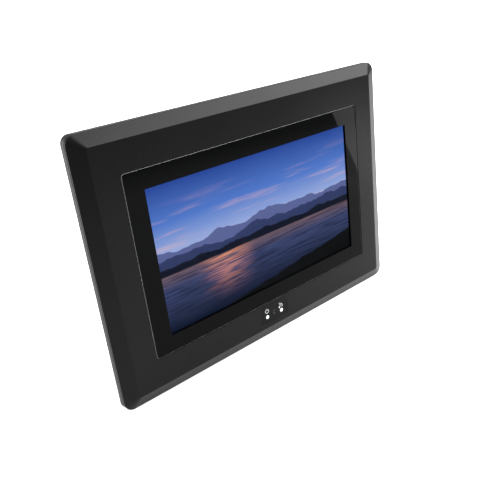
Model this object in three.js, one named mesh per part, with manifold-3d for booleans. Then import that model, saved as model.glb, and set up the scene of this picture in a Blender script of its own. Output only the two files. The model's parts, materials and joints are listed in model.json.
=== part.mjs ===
// A seven-inch digital photo frame that leans back on an easel leg.
//
// Units are millimetres. In the row frame +Z is up and the screen faces -Y. Every piece is drawn in the
// casing's own frame: x to the right, y up the screen, z out of the front, with the origin at the middle
// of the flat front face. The casing's group then leans back and lifts the feet to z = 0.

import * as THREE from 'three';
import { mergeVertices } from 'three/addons/utils/BufferGeometryUtils.js';
import Module from 'manifold-3d';

const wasm = await Module();
wasm.setup();

// ---- Driving dimensions ---------------------------------------------------------------------------

// Stance
const LEAN = THREE.MathUtils.degToRad(10);
const LEG_ANGLE = THREE.MathUtils.degToRad(11); // the open leg, from vertical
const BASE_DROP = 78.9; // from the face's centre down to the table

// Casing, front to back
const OUTER = { w: 224.6, h: 155.4, r: 5.7 };
const FACE = { w: 207.8, h: 141.2, r: 1.5 };
const BEVEL_BACK = -3.3;
const BEZEL_EDGE = -4.2;
const RIM_FRONT = -4.7; // the parting groove is between the bezel's edge and this
const RIM_BACK = -8.8;
const HUMP_BACK = -22;
const WALL = 2;
const FACE_PLATE = -2.8; // back of the bezel's face plate
const LIP_BACK = -6.3;
const HUMP_BASE = { w: 189, h: 122, r: 10 };
const HUMP_TOP = { w: 183, h: 116, r: 8 };

// Screen stack
const GLASS_OPENING = { w: 177.8, h: 107.5, r: 2 };
const LEDGE_FRONT = -1.9;
const GLASS_FRONT = -0.3;
const GLASS_BACK = -1.5;
const SCREEN = { x: 0.5, y: -0.4 }; // centre of the display
const CELL = { w: 161, h: 97, r: 0.6 };
const CELL_FRONT = -1.7;
const CELL_BACK = -3.2;
const MODULE = { w: 165.6, h: 104.6, r: 1 };
const TRAY_BACK = -7;
const LEDGE_OPENING = { w: CELL.w + 1, h: CELL.h + 1, r: 1 };

// Indicator panel under the glass
const PANEL = { w: 22.6, h: 11.8, r: 0.5, x: 0.1, y: -60.8 };
const LEDS = [{ name: 'led_left', x: -6.3 }, { name: 'led_right', x: 6 }];
const LED_Y = -63.1;
const LED_RADIUS = 1.5;
const SENSOR_Y = -61.7;
const SENSOR_RADIUS = 1.7;

// Main board, behind the screen's right half
const BOARD = { w: 60, h: 77, x: 58, y: 13.5, front: -12, back: -13.6 };
const ON_BOARD = -13.9; // where parts on the back of the board start

// Buttons, in a row along the top of the back
const BUTTONS = ['menu', 'back', 'previous', 'next', 'enter'];
const BUTTON_START = 38;
const BUTTON_PITCH = 10.5;
const BUTTON_Y = 44;
const BUTTON = { w: 6.6, h: 4.4, r: 2.2 };
const BUTTON_TOP = HUMP_BACK - 0.8;
const BUTTON_GAP = 0.3; // round a cap in its hole
const SWITCH_TOP = -17.4; // end of a key switch's plunger

// Power switch, on the hump's top wall
const SWITCH_X = 40;
const SWITCH_TRAVEL = 3;

// Easel leg
const HINGE = { y: 38, z: -19.6 };
const BARREL_RADIUS = 2.8;
const PIN_RADIUS = 1.25;
const LEG = { topWidth: 44, footWidth: 32, thickness: 3.2, end: -108 };
const RECESS = { half: 25, top: 46, floor: -16.5 };
const PIN_REACH = RECESS.half + 1.3; // each end of the hinge pin sits in the recess's side wall

// Speakers and vents
const SPEAKERS = [{ name: 'speaker_left', x: -57 }, { name: 'speaker_right', x: 57 }];
const SPEAKER_Y = -41.5;
const SPEAKER_RADIUS = 13;
const GRILLE = { lengths: [12, 18, 21, 18, 12], pitch: 3.6 };
const VENTS = { x: -57, y: 28, lengths: [30, 30, 30, 30, 30, 30], pitch: 4 };
const SLOT_WIDTH = 1.6;

// Sockets on the right-hand side. Each has a body on the board and a window in the hump's wall.
const SIDE = { inner: 89.3, outer: 96 };
const CARD = { x: 62, y: 26, half: 14, back: -17.1 };
const USB_HOST = { x: 73, y: 3, half: 7, back: -19.6 };
const USB_MINI = { x: 80, y: -8.6, half: 3.9, back: -17.8 };
const INLET = { x: 77, y: -19, half: 3.6, back: -19.6, holeZ: -16.8, holeRadius: 1.9, pinRadius: 0.55 };
const WINDOWS = [
  { y: CARD.y, half: 13, back: -16.9, front: -14.1 },
  { y: USB_HOST.y, half: 6.8, back: -19.3, front: -14.2 },
  { y: USB_MINI.y, half: 3.7, back: -17.5, front: -14.2 },
  { y: INLET.y, half: 2.7, back: -19.3, front: -14.3 },
];

// Fasteners
const CASE_SCREWS = [[-102, -67.5], [102, -67.5], [-102, 67.5], [102, 67.5]];
const BRACKET_SCREWS = [[-88.5, -40], [88.5, -40], [-88.5, 40], [88.5, 40]];
const BOARD_SCREWS = [[84.5, 49.2], [31.5, 36], [31.5, -21.5]];
const HEAD_RADIUS = 2.2;
const SHANK_RADIUS = 0.95;
const SCREW_BORE = 1.2; // in a boss, for a case or bracket screw
const BOARD_SCREW = { headRadius: 2, shankRadius: 0.8, bore: 1.05 };

const THROUGH = 1; // how far a cutting shape runs past the face it opens
const OVERLAP = 0.2; // how far two shapes that join run into each other

// ---- Materials ------------------------------------------------------------------------------------

const material = (color, roughness, metalness) =>
  new THREE.MeshStandardMaterial({ color, roughness, metalness });

const BLACK_PLASTIC = material(0x232325, 0.5, 0);
const REAR_PLASTIC = material(0x2b2b2d, 0.6, 0);
const KEY_PLASTIC = material(0x38383b, 0.45, 0);
const PANEL_PLASTIC = material(0x1d1d1f, 0.4, 0);
const SOCKET_PLASTIC = material(0x141414, 0.5, 0);
const WINDOW_GLASS = material(0x0a0a0d, 0.05, 0);
const CELL_GLASS = material(0x24365a, 0.1, 0);
const DIFFUSER = material(0xe8ecee, 0.5, 0);
const LED_PLASTIC = material(0xf4f8ff, 0.2, 0);
const STEEL = material(0xa9acb0, 0.35, 1);
const BOARD_GREEN = material(0x1c5a3a, 0.6, 0);
const CHIP = material(0x1a1a1c, 0.6, 0);
const FOAM = material(0x303033, 0.95, 0);
const CABLE = material(0xc98a3c, 0.5, 0);
const RUBBER = material(0x17171a, 0.9, 0);

// ---- Shapes ---------------------------------------------------------------------------------------

// A rectangle with round corners, centred on the origin.
function roundedOutline({ w, h, r }) {
  const shape = new THREE.Shape();
  const x = w / 2 - r;
  const y = h / 2 - r;
  shape.absarc(x, y, r, 0, Math.PI / 2);
  shape.absarc(-x, y, r, Math.PI / 2, Math.PI);
  shape.absarc(-x, -y, r, Math.PI, 1.5 * Math.PI);
  shape.absarc(x, -y, r, 1.5 * Math.PI, 2 * Math.PI);
  return shape;
}

// An outline drawn out along z, from back to front.
function extrude(shape, back, front, curveSegments = 3) {
  const options = { depth: front - back, bevelEnabled: false, curveSegments };
  return new THREE.ExtrudeGeometry(shape, options).translate(0, 0, back);
}

// The same outline with every side moved in.
const inset = (outline, by) => ({ w: outline.w - 2 * by, h: outline.h - 2 * by, r: outline.r });

const slab = (outline, back, front, x = 0, y = 0) =>
  extrude(roundedOutline(outline), back, front).translate(x, y, 0);

// A slab whose back has one rounded rectangle and whose front has another.
function taperedSlab(rear, nose, back, front) {
  const geometry = slab(rear, back, front);
  const points = geometry.attributes.position;
  const middle = (back + front) / 2;
  const move = (value, rearSide, noseSide) => {
    const along = (Math.abs(value) - (rearSide / 2 - rear.r)) / rear.r;
    return Math.sign(value) * (noseSide / 2 - nose.r + along * nose.r);
  };
  for (let i = 0; i < points.count; i += 1) {
    if (points.getZ(i) > middle) {
      points.setX(i, move(points.getX(i), rear.w, nose.w));
      points.setY(i, move(points.getY(i), rear.h, nose.h));
    }
  }
  return geometry;
}

// A box given by its limits.
const box = (x0, x1, y0, y1, z0, z1) =>
  new THREE.BoxGeometry(x1 - x0, y1 - y0, z1 - z0)
    .translate((x0 + x1) / 2, (y0 + y1) / 2, (z0 + z1) / 2);

const buttonX = (i) => BUTTON_START + i * BUTTON_PITCH;

// A round post along z.
const post = (radius, back, front, x = 0, y = 0, sides = 12) =>
  new THREE.CylinderGeometry(radius, radius, front - back, sides)
    .rotateX(Math.PI / 2)
    .translate(x, y, (back + front) / 2);

// A rod along x.
const rod = (radius, x0, x1, y, z, sides = 16) =>
  new THREE.CylinderGeometry(radius, radius, x1 - x0, sides)
    .rotateZ(Math.PI / 2)
    .translate((x0 + x1) / 2, y, z);

// A turned piece along z: the profile is a list of [radius, z] that starts and ends on the axis.
const turned = (profile, x = 0, y = 0, sides = 16) =>
  new THREE.LatheGeometry(profile.map(([radius, z]) => new THREE.Vector2(radius, z)), sides)
    .rotateX(Math.PI / 2)
    .translate(x, y, 0);

// ---- Solid operations -----------------------------------------------------------------------------

function toSolid(geometry) {
  const bare = new THREE.BufferGeometry();
  bare.setAttribute('position', geometry.attributes.position.clone());
  if (geometry.index) bare.setIndex(geometry.index.clone());
  const merged = mergeVertices(bare, 1e-4);
  const mesh = new wasm.Mesh({
    numProp: 3,
    vertProperties: new Float32Array(merged.attributes.position.array),
    triVerts: new Uint32Array(merged.index.array),
  });
  return new wasm.Manifold(mesh);
}

function toGeometry(solid) {
  const mesh = solid.getMesh();
  const geometry = new THREE.BufferGeometry();
  geometry.setAttribute('position', new THREE.BufferAttribute(mesh.vertProperties, 3));
  geometry.setIndex(new THREE.BufferAttribute(mesh.triVerts, 1));
  geometry.computeVertexNormals();
  return geometry;
}

const join = (...geometries) =>
  toGeometry(geometries.map(toSolid).reduce((sum, solid) => sum.add(solid)));

const cut = (geometry, ...tools) =>
  toGeometry(tools.map(toSolid).reduce((rest, tool) => rest.subtract(tool), toSolid(geometry)));

const overlap = (a, b) => toGeometry(toSolid(a).intersect(toSolid(b)));

// A flat ring between two rounded rectangles.
const ring = (outer, inner, back, front, x = 0, y = 0) =>
  cut(slab(outer, back, front, x, y), slab(inner, back - THROUGH, front + THROUGH, x, y));

// ---- Scene graph ----------------------------------------------------------------------------------

const photoFrame = new THREE.Group();
const casing = new THREE.Group();
const leg = new THREE.Group();
photoFrame.add(casing);
casing.add(leg);

function addPiece(name, geometry, finish, parent = casing) {
  const mesh = new THREE.Mesh(geometry, finish);
  mesh.name = name;
  parent.add(mesh);
  return mesh;
}

// ---- Casing ---------------------------------------------------------------------------------------

function frontBezel() {
  const lipPlay = 0.4; // between the lip and the rear cover's wall
  const lip = { ...inset(OUTER, WALL + lipPlay), r: 3.8 };
  const pocket = { ...inset(lip, 1.9), r: 3.5 };
  const pocketNose = { w: FACE.w + 1.2, h: FACE.h + 0.4, r: 2.5 };
  const pocketShoulder = BEVEL_BACK - 0.6;
  const platePocket = { ...inset(PANEL, -0.15), r: 0.6 };
  const pocketFloor = -0.95;
  const lampHole = LED_RADIUS + 0.2;
  const sensorHole = SENSOR_RADIUS + 0.2;
  const shell = join(
    taperedSlab(OUTER, FACE, BEVEL_BACK, 0),
    slab(OUTER, BEZEL_EDGE, BEVEL_BACK),
    slab(lip, LIP_BACK, BEZEL_EDGE + 2 * OVERLAP),
  );
  const hollow = cut(
    shell,
    taperedSlab(pocket, pocketNose, pocketShoulder, FACE_PLATE),
    slab(pocket, LIP_BACK - THROUGH, pocketShoulder),
    slab(GLASS_OPENING, LEDGE_FRONT, THROUGH),
    slab(LEDGE_OPENING, FACE_PLATE - THROUGH, LEDGE_FRONT, SCREEN.x, SCREEN.y),
    slab(platePocket, pocketFloor, THROUGH, PANEL.x, PANEL.y),
    ...LEDS.map(({ x }) => post(lampHole, FACE_PLATE - THROUGH, THROUGH, x, LED_Y)),
    post(sensorHole, FACE_PLATE - THROUGH, THROUGH, 0, SENSOR_Y),
  );
  const bossRoot = FACE_PLATE + 0.1;
  const caseBoss = 2.7;
  const caseBoreEnd = -3.3;
  const bracketBoss = 2.6;
  const bracketBoreEnd = -4;
  const withBosses = join(
    hollow,
    ...CASE_SCREWS.map(([x, y]) => post(caseBoss, LIP_BACK, bossRoot, x, y)),
    ...BRACKET_SCREWS.map(([x, y]) => post(bracketBoss, TRAY_BACK, bossRoot, x, y)),
  );
  return cut(
    withBosses,
    ...CASE_SCREWS.map(([x, y]) => post(SCREW_BORE, LIP_BACK - THROUGH, caseBoreEnd, x, y)),
    ...BRACKET_SCREWS.map(([x, y]) => post(SCREW_BORE, TRAY_BACK - THROUGH, bracketBoreEnd, x, y)),
  );
}

// Slots side by side through the back, for the speaker grilles and the vents.
function slotRow(x, y, { lengths, pitch }) {
  const middle = (lengths.length - 1) / 2;
  return lengths.map((length, i) => {
    const slotY = y + (i - middle) * pitch;
    return box(x - length / 2, x + length / 2, slotY - SLOT_WIDTH / 2, slotY + SLOT_WIDTH / 2,
      HUMP_BACK - THROUGH, HUMP_BACK + WALL + THROUGH);
  });
}

function rearCover() {
  const rim = { ...OUTER, r: 4.6 };
  const innerBack = HUMP_BACK + WALL;
  const innerFloor = RIM_BACK + WALL;
  const outside = join(
    taperedSlab(rim, OUTER, RIM_BACK, RIM_FRONT),
    taperedSlab(HUMP_TOP, HUMP_BASE, HUMP_BACK, RIM_BACK + OVERLAP),
  );
  const inner = (outline) => ({ ...inset(outline, WALL), r: outline.r - WALL / 2 });
  const shell = cut(
    outside,
    slab(inner(OUTER), innerFloor, THROUGH),
    taperedSlab(inner(HUMP_TOP), inner(HUMP_BASE), innerBack, innerFloor + OVERLAP),
  );
  const recessWall = 2.2;
  const recessEnd = -80; // past the hump's bottom wall, so the recess is open there
  const boardPost = 2.2;
  const speakerFence = { outer: SPEAKER_RADIUS + 1.6, inner: SPEAKER_RADIUS + 0.4, height: 2.5 };
  const recessBlock = overlap(
    outside,
    box(-RECESS.half - recessWall, RECESS.half + recessWall, recessEnd, RECESS.top + recessWall,
      HUMP_BACK - THROUGH, RECESS.floor + WALL),
  );
  const withInside = join(
    shell,
    recessBlock,
    ...BOARD_SCREWS.map(([x, y]) => post(boardPost, innerBack - OVERLAP, ON_BOARD, x, y)),
    ...SPEAKERS.map(({ x }) => cut(
      post(speakerFence.outer, innerBack - OVERLAP, innerBack + speakerFence.height, x, SPEAKER_Y, 20),
      post(speakerFence.inner, innerBack - THROUGH, innerBack + 3, x, SPEAKER_Y, 20),
    )),
  );
  const wallWindow = ({ y, half, back, front }) =>
    box(SIDE.inner - 3, SIDE.outer, y - half, y + half, back, front);
  const buttonHole = { ...inset(BUTTON, -BUTTON_GAP), r: BUTTON.r };
  const knobSlot = { half: SWITCH_TRAVEL / 2 + 2.6, back: -17.1, front: -14.3 };
  const pinBore = PIN_RADIUS + 0.25;
  const pinBoreReach = PIN_REACH + 0.3;
  const headSeat = { radius: 2.6, depth: 1.1 };
  const shankHole = 1.4;
  const boardBoreEnd = -18;
  return cut(
    withInside,
    box(-RECESS.half, RECESS.half, recessEnd, RECESS.top, HUMP_BACK - THROUGH, RECESS.floor),
    rod(pinBore, -pinBoreReach, pinBoreReach, HINGE.y, HINGE.z),
    ...WINDOWS.map(wallWindow),
    ...BUTTONS.map((_, i) =>
      slab(buttonHole, HUMP_BACK - THROUGH, innerBack + THROUGH, buttonX(i), BUTTON_Y)),
    box(SWITCH_X - knobSlot.half, SWITCH_X + knobSlot.half, 54, 64, knobSlot.back, knobSlot.front),
    ...SPEAKERS.flatMap(({ x }) => slotRow(x, SPEAKER_Y, GRILLE)),
    ...slotRow(VENTS.x, VENTS.y, VENTS),
    ...CASE_SCREWS.map(([x, y]) => post(shankHole, RIM_BACK - THROUGH, innerFloor + THROUGH, x, y)),
    ...CASE_SCREWS.map(([x, y]) =>
      post(headSeat.radius, RIM_BACK - THROUGH, RIM_BACK + headSeat.depth, x, y)),
    ...BOARD_SCREWS.map(([x, y]) => post(BOARD_SCREW.bore, boardBoreEnd, ON_BOARD + THROUGH, x, y)),
  );
}

addPiece('front_bezel', frontBezel(), BLACK_PLASTIC);
addPiece('rear_cover', rearCover(), REAR_PLASTIC);

// A strip foot on the bottom of the rim, cut level with the table.
function stripFoot(x) {
  const tableAt = (z) => (-BASE_DROP - z * Math.sin(LEAN)) / Math.cos(LEAN);
  const half = 13;
  const front = -6.4;
  const back = -8.6;
  const top = -OUTER.h / 2 - 0.05;
  const section = new THREE.Shape([
    new THREE.Vector2(-front, top),
    new THREE.Vector2(-front, tableAt(front)),
    new THREE.Vector2(-back, tableAt(back)),
    new THREE.Vector2(-back, top),
  ]);
  return extrude(section, -half, half).rotateY(Math.PI / 2).translate(x, 0, 0);
}

addPiece('foot_left', stripFoot(-82), RUBBER);
addPiece('foot_right', stripFoot(82), RUBBER);

// ---- Screen ---------------------------------------------------------------------------------------

addPiece('front_glass', slab(inset(GLASS_OPENING, 0.25), GLASS_BACK, GLASS_FRONT), WINDOW_GLASS);
addPiece('glass_tape',
  ring({ w: 176.6, h: 106.3, r: 1.5 }, { w: 163.6, h: 99.8, r: 1.2 }, -1.8, -1.6), FOAM);
addPiece('display_gasket',
  ring({ w: 165, h: 103.6, r: 1 }, { w: 162.6, h: 98.6, r: 1 }, -3.2, -2.9, SCREEN.x, SCREEN.y), FOAM);
addPiece('lcd_cell', slab(CELL, CELL_BACK, CELL_FRONT, SCREEN.x, SCREEN.y), CELL_GLASS);
addPiece('lcd_backlight', slab(inset(MODULE, 0.7), -6.2, -3.4, SCREEN.x, SCREEN.y), DIFFUSER);
addPiece('lcd_tray', cut(
  slab(MODULE, TRAY_BACK, -3.5, SCREEN.x, SCREEN.y),
  slab(inset(MODULE, 0.5), -6.4, 0, SCREEN.x, SCREEN.y),
), STEEL);

// A steel strip that clamps one end of the module against the bezel.
function screenBracket(side) {
  const outline = { w: 14.4, h: 96, r: 1.5 };
  const outerEdge = 91.2;
  const hole = 1.3;
  const x = side * (outerEdge - outline.w / 2);
  const holes = BRACKET_SCREWS.filter(([screwX]) => screwX * side > 0)
    .map(([screwX, y]) => post(hole, TRAY_BACK - 2, TRAY_BACK + THROUGH, screwX, y));
  return cut(slab(outline, TRAY_BACK - 1.1, TRAY_BACK - 0.3, x, 0), ...holes);
}

addPiece('lcd_bracket_left', screenBracket(-1), STEEL);
addPiece('lcd_bracket_right', screenBracket(1), STEEL);

// ---- Indicator panel ------------------------------------------------------------------------------

const PLATE_BACK = -0.85;
const PLATE_FRONT = -0.05;
addPiece('indicator_plate', cut(
  slab(PANEL, PLATE_BACK, PLATE_FRONT, PANEL.x, PANEL.y),
  ...LEDS.map(({ x }) => post(LED_RADIUS + 0.15, PLATE_BACK - THROUGH, THROUGH, x, LED_Y)),
  post(SENSOR_RADIUS + 0.15, PLATE_BACK - THROUGH, THROUGH, 0, SENSOR_Y),
), PANEL_PLASTIC);

for (const { name, x } of LEDS) {
  addPiece(name, turned([
    [0, -3.9], [1.9, -3.9], [1.9, -3], [LED_RADIUS, -3], [LED_RADIUS, -0.15], [1.1, 0.02], [0, 0.1],
  ], x, LED_Y, 12), LED_PLASTIC);
}

addPiece('sensor_lens', turned([
  [0, -2.6], [SENSOR_RADIUS, -2.6], [SENSOR_RADIUS, -0.05], [1.2, -0.3], [0.6, -0.5], [0, -0.55],
], 0, SENSOR_Y, 12), WINDOW_GLASS);
addPiece('ir_receiver', box(-2, 2, SENSOR_Y - 1.8, SENSOR_Y + 1.8, -4, -2.95), CHIP);
addPiece('indicator_board', slab({ w: 26, h: 10, r: 0.6 }, -5.2, -4.2, 0, -61.5), BOARD_GREEN);

// ---- Main board and what it carries ---------------------------------------------------------------

addPiece('main_board', cut(
  slab({ w: BOARD.w, h: BOARD.h, r: 1 }, BOARD.back, BOARD.front, BOARD.x, BOARD.y),
  ...BOARD_SCREWS.map(([x, y]) => post(1.1, -15, -10, x, y)),
), BOARD_GREEN);

const CHIPS = [
  { name: 'main_processor', x: 44, y: 6, w: 14, h: 14, height: 1.4 },
  { name: 'memory_chip', x: 45, y: 26, w: 11, h: 19, height: 1.2 },
  { name: 'flash_chip', x: 61, y: 1.5, w: 12, h: 18, height: 1.2 },
  { name: 'power_inductor', x: 66, y: -18, w: 7, h: 7, height: 3.6 },
];
for (const { name, x, y, w, h, height } of CHIPS) {
  addPiece(name, box(x - w / 2, x + w / 2, y - h / 2, y + h / 2, ON_BOARD - height, ON_BOARD), CHIP);
}

const CANS = [
  { name: 'filter_capacitor', x: 55.5, y: -18, radius: 3.15, height: 5.4, sides: 12 },
  { name: 'clock_battery', x: 41, y: -12, radius: 6.25, height: 2.2, sides: 20 },
];
for (const { name, x, y, radius, height, sides } of CANS) {
  addPiece(name, post(radius, ON_BOARD - height, ON_BOARD, x, y, sides), STEEL);
}
addPiece('lcd_connector', box(29, 34, -15, 15, -11.7, -10.2), SOCKET_PLASTIC);

// The screen's flat cable: from the tray's back, across to the connector on the board's front.
function screenCable() {
  const top = new THREE.CatmullRomCurve3([
    new THREE.Vector3(4, 7.3, 0), new THREE.Vector3(12, 7.4, 0),
    new THREE.Vector3(21, 10.2, 0), new THREE.Vector3(28.7, 10.8, 0),
  ]).getPoints(12);
  const thickness = 0.3;
  const half = 13;
  const outline = [
    ...top.map(({ x, y }) => new THREE.Vector2(x, y)),
    ...top.map(({ x, y }) => new THREE.Vector2(x, y + thickness)).reverse(),
  ];
  return extrude(new THREE.Shape(outline), -half, half).rotateX(-Math.PI / 2);
}

addPiece('lcd_flat_cable', screenCable(), CABLE);

// Sockets open towards +x, in line with their windows.
const socketBody = ({ x, y, half, back }) => box(x, SIDE.inner, y - half, y + half, back, ON_BOARD);
const socketMouth = (x, y, half, back, front) => box(x, SIDE.outer, y - half, y + half, back, front);

// A shell round a flat tongue. The mouth reaches from back to front and stands clear of the tongue.
function tongueSocket(body, half, back, front, tongue) {
  const floor = body.x + tongue.root;
  return cut(
    socketBody(body),
    socketMouth(floor, body.y, half, back, tongue.back),
    socketMouth(floor, body.y, half, tongue.front, front),
    socketMouth(SIDE.inner - tongue.setBack, body.y, half, back, front),
  );
}

addPiece('card_socket', cut(
  socketBody(CARD),
  socketMouth(CARD.x + 4, CARD.y, 12.3, -16.7, -14.3),
), STEEL);
addPiece('usb_host_socket',
  tongueSocket(USB_HOST, 6.3, -19.1, -14.4, { root: 4, setBack: 1.2, back: -17.3, front: -15.9 }), STEEL);
addPiece('usb_mini_socket',
  tongueSocket(USB_MINI, 3.4, -17.4, -14.3, { root: 2, setBack: 1.2, back: -16.4, front: -15.5 }), STEEL);
addPiece('power_inlet', join(
  cut(
    socketBody(INLET),
    rod(INLET.holeRadius, INLET.x + 2, SIDE.outer, INLET.y, INLET.holeZ),
  ),
  rod(INLET.pinRadius, INLET.x + 1, SIDE.inner - 1, INLET.y, INLET.holeZ, 12),
), SOCKET_PLASTIC);

// A drawn lead of a few wires in one sleeve.
function lead(points, radius) {
  const path = new THREE.CatmullRomCurve3(points.map((point) => new THREE.Vector3(...point)));
  const section = new THREE.Shape().absarc(0, 0, radius, 0, 2 * Math.PI);
  return new THREE.ExtrudeGeometry(section, { extrudePath: path, steps: 16, curveSegments: 2 });
}

addPiece('indicator_lead', lead([
  [6, -61.5, -5.9], [10, -59.4, -5.95], [14, -56, -7.4], [18, -53.6, -9.4], [30, -44, -11.4],
  [42, -33, -12.7], [46, -26, -12.8],
], 0.45), CABLE);

// ---- Buttons and switches -------------------------------------------------------------------------

// A square switch with a round plunger, and the cap that presses it. The cap's flange keeps it in.
BUTTONS.forEach((use, i) => {
  const x = buttonX(i);
  const flange = { ...inset(BUTTON, -1), r: 1.5 };
  const switchHalf = 3;
  addPiece(`key_switch_${i + 1}`, join(
    box(x - switchHalf, x + switchHalf, BUTTON_Y - switchHalf, BUTTON_Y + switchHalf, -17, ON_BOARD),
    post(1.6, SWITCH_TOP, -16.8, x, BUTTON_Y),
  ), SOCKET_PLASTIC);
  addPiece(`button_${use}`, join(
    slab(BUTTON, BUTTON_TOP, SWITCH_TOP - 1, x, BUTTON_Y),
    slab(flange, -19.7, -18.9, x, BUTTON_Y),
  ), KEY_PLASTIC);
});

// The slide switch lies along the board's top edge. Its knob is at the left end of the travel.
const knobX = SWITCH_X - SWITCH_TRAVEL / 2;
const tongueHalf = 1.2;
const gripHalf = 2.2;
addPiece('power_switch', box(SWITCH_X - 5, SWITCH_X + 5, 47.6, 51.8, -17.3, ON_BOARD), STEEL);
addPiece('power_switch_knob', join(
  box(knobX - tongueHalf, knobX + tongueHalf, 52.1, 58, -16.4, -15),
  box(knobX - gripHalf, knobX + gripHalf, 57.4, 60.8, -16.8, -14.6),
), KEY_PLASTIC);

// ---- Speakers -------------------------------------------------------------------------------------

for (const { name, x } of SPEAKERS) {
  addPiece(name, turned([
    [0, -19.2], [3.5, -18.4], [11.4, -19.6], [SPEAKER_RADIUS, -19.6], [SPEAKER_RADIUS, -18.4],
    [7, -16.4], [7, -14.8], [0, -14.8],
  ], x, SPEAKER_Y, 20), SOCKET_PLASTIC);
}

// ---- Fasteners ------------------------------------------------------------------------------------

// A pan-head screw along z. The shank runs from the head towards the tip.
function screw([x, y], headOuter, headInner, tip, headRadius = HEAD_RADIUS, shankRadius = SHANK_RADIUS) {
  const profile = [
    [0, headOuter], [headRadius, headOuter], [headRadius, headInner], [shankRadius, headInner],
    [shankRadius, tip], [0, tip],
  ];
  return turned(tip > headOuter ? profile : profile.reverse(), x, y, 10);
}

CASE_SCREWS.forEach((at, i) => {
  addPiece(`case_screw_${i + 1}`, screw(at, -8.7, -7.9, -3.8), STEEL);
});
BRACKET_SCREWS.forEach((at, i) => {
  addPiece(`bracket_screw_${i + 1}`, screw(at, -9.2, -8.3, -4.4), STEEL);
});
BOARD_SCREWS.forEach((at, i) => {
  const { headRadius, shankRadius } = BOARD_SCREW;
  addPiece(`board_screw_${i + 1}`, screw(at, -10.8, -11.8, -17.4, headRadius, shankRadius), STEEL);
});

// ---- Easel leg ------------------------------------------------------------------------------------

// The leg is drawn hanging straight down from its hinge pin, then swung open.
const hingeHeight = BASE_DROP + HINGE.y * Math.cos(LEAN) + HINGE.z * Math.sin(LEAN);
const tableOnLeg = (z) => (z * Math.sin(LEG_ANGLE) - hingeHeight) / Math.cos(LEG_ANGLE);

function legPlate() {
  const top = LEG.topWidth / 2;
  const foot = LEG.footWidth / 2;
  const corner = 3;
  const barrelReach = RECESS.half - 0.6;
  const outline = new THREE.Shape();
  outline.moveTo(-top, 0);
  outline.lineTo(-foot, LEG.end + corner);
  outline.quadraticCurveTo(-foot, LEG.end, -foot + corner, LEG.end);
  outline.lineTo(foot - corner, LEG.end);
  outline.quadraticCurveTo(foot, LEG.end, foot, LEG.end + corner);
  outline.lineTo(top, 0);
  return cut(
    join(
      extrude(outline, -LEG.thickness / 2, LEG.thickness / 2),
      rod(BARREL_RADIUS, -barrelReach, barrelReach, 0, 0, 20),
    ),
    rod(PIN_RADIUS + 0.2, -RECESS.half, RECESS.half, 0, 0),
  );
}

function legFoot() {
  const half = 2;
  const halfWidth = LEG.footWidth / 2 - 2;
  const top = LEG.end - 0.3;
  const section = new THREE.Shape([
    new THREE.Vector2(-half, top),
    new THREE.Vector2(-half, tableOnLeg(half)),
    new THREE.Vector2(half, tableOnLeg(-half)),
    new THREE.Vector2(half, top),
  ]);
  return extrude(section, -halfWidth, halfWidth).rotateY(Math.PI / 2);
}

addPiece('stand_leg', legPlate(), REAR_PLASTIC, leg);
addPiece('stand_foot', legFoot(), RUBBER, leg);
addPiece('stand_pin', rod(PIN_RADIUS, -PIN_REACH, PIN_REACH, HINGE.y, HINGE.z), STEEL);

leg.position.set(0, HINGE.y, HINGE.z);
leg.rotation.x = LEAN + LEG_ANGLE;

// ---- Stance ---------------------------------------------------------------------------------------

casing.rotation.x = Math.PI / 2 - LEAN;
casing.position.z = BASE_DROP;
photoFrame.updateMatrixWorld(true);
const bounds = new THREE.Box3().setFromObject(photoFrame, true);
casing.position.y = -(bounds.min.y + bounds.max.y) / 2;

export default photoFrame;
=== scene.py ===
"""A seven-inch digital photo frame on its easel leg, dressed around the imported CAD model.

The casing is drawn in millimetres in its own frame: x to the right, y up the screen, z out of the
front, with the origin at the middle of the flat front face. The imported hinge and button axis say
where that frame stands. Every finished mesh is turned into the row frame, in metres.
"""

import json
import math

import bmesh
import bpy
from mathutils import Matrix, Quaternion, Vector


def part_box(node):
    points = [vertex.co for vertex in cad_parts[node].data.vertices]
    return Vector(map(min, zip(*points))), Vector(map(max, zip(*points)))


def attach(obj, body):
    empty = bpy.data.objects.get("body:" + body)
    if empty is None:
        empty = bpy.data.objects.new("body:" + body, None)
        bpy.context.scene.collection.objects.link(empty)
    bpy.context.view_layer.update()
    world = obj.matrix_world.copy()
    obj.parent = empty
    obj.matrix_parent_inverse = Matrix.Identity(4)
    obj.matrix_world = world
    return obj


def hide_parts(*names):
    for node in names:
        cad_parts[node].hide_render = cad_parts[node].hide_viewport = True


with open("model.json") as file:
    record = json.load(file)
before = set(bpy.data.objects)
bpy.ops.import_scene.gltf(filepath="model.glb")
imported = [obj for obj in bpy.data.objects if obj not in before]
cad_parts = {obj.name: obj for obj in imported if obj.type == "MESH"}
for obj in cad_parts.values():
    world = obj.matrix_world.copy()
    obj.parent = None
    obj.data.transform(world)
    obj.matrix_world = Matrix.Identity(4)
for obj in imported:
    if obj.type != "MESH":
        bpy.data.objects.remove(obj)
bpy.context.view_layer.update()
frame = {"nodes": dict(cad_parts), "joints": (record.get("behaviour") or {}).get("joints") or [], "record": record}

# ---- Where things are ------------------------------------------------------------------------------

MM = 0.001
JOINTS = {joint["name"]: joint for joint in frame["joints"]}
HINGE = Vector((0.0, 38.0, -19.6))  # the hinge pin in the casing's frame
LEG_OPENING = -math.radians(JOINTS["stand_hinge"]["range_deg"][0])

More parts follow.
